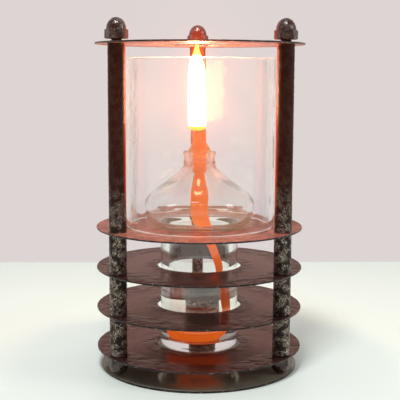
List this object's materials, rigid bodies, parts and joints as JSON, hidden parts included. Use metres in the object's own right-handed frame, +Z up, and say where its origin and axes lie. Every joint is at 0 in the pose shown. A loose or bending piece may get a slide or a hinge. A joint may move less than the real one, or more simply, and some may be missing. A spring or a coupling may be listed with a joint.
{
  "type": "oil lamp",
  "caption": "Table oil lamp: round discs on three posts carry a glass chimney and a hanging glass bottle with a wick in a glass holder.",
  "frame": {"origin": "middle of the underside of the base plate, on the table", "axes": "+Z up along the lamp, -Y to the front between the two front posts, +X to the right seen from the front"},
  "size_m": [0.1524, 0.1524, 0.2549],
  "materials": {
    "base_sheet": "dark olive-brown, glossy",
    "disc_sheet": "dark bronze-brown, glossy, lightly pitted near the edge",
    "post_tube": "black-brown hammered",
    "stud_steel": "dark threaded steel",
    "nut_paint": "black-brown hammered, glossy",
    "chimney_glass": "clear, rims ground",
    "bottle_glass": "clear, thick",
    "holder_glass": "clear",
    "wick_braid": "woven flat braid, soaked",
    "lamp_oil": "clear liquid",
    "flame": "glowing"
  },
  "bodies": {
    "frame": {"base_plate": "base_sheet", "disc_1": "disc_sheet", "disc_2": "disc_sheet", "disc_3": "disc_sheet", "disc_4": "disc_sheet", "spacer_left_1": "post_tube", "spacer_left_2": "post_tube", "spacer_left_3": "post_tube", "spacer_right_1": "post_tube", "spacer_right_2": "post_tube", "spacer_right_3": "post_tube", "spacer_back_1": "post_tube", "spacer_back_2": "post_tube", "spacer_back_3": "post_tube", "long_spacer_left": "post_tube", "long_spacer_right": "post_tube", "long_spacer_back": "post_tube", "stud_left": "stud_steel", "stud_right": "stud_steel", "stud_back": "stud_steel", "foot_nut_left": "nut_paint", "foot_nut_right": "nut_paint", "foot_nut_back": "nut_paint"},
    "top_plate": {"top_plate": "disc_sheet"},
    "cap_nut_left": {"cap_nut_left": "nut_paint"},
    "cap_nut_right": {"cap_nut_right": "nut_paint"},
    "cap_nut_back": {"cap_nut_back": "nut_paint"},
    "chimney": {"glass_chimney": "chimney_glass"},
    "bottle": {"oil_bottle": "bottle_glass"},
    "wick_holder": {"wick_holder": "holder_glass"},
    "wick": {"wick": "wick_braid"}
  },
  "joints": [
    {"name": "top_plate_lift", "type": "slide", "parent": "frame", "child": "top_plate", "axis": [0, 0, 1], "range_m": [0, 0.165]},
    {"name": "cap_nut_left_turn", "type": "hinge", "parent": "top_plate", "child": "cap_nut_left", "pos_m": [-0.05854, -0.0338, 0.2401], "axis": [0, 0, 1], "range_deg": [0, 2520]},
    {"name": "cap_nut_right_turn", "type": "hinge", "parent": "top_plate", "child": "cap_nut_right", "pos_m": [0.05854, -0.0338, 0.2401], "axis": [0, 0, 1], "range_deg": [0, 2520]},
    {"name": "cap_nut_back_turn", "type": "hinge", "parent": "top_plate", "child": "cap_nut_back", "pos_m": [0, 0.0676, 0.2401], "axis": [0, 0, 1], "range_deg": [0, 2520]},
    {"name": "chimney_lift", "type": "slide", "parent": "frame", "child": "chimney", "axis": [0, 0, 1], "range_m": [0, 0.152]},
    {"name": "bottle_lift", "type": "slide", "parent": "frame", "child": "bottle", "axis": [0, 0, 1], "range_m": [0, 0.1]},
    {"name": "wick_holder_lift", "type": "slide", "parent": "bottle", "child": "wick_holder", "axis": [0, 0, 1], "range_m": [0, 0.03], "deforming": ["wick"]},
    {"name": "wick_pull", "type": "slide", "parent": "wick_holder", "child": "wick", "axis": [0, 0, 1], "range_m": [0, 0.004], "deforming": ["wick"]}
  ],
  "couplings": [
    {"joint": "chimney_lift", "follows": "top_plate_lift", "ratio": 0.92}
  ]
}
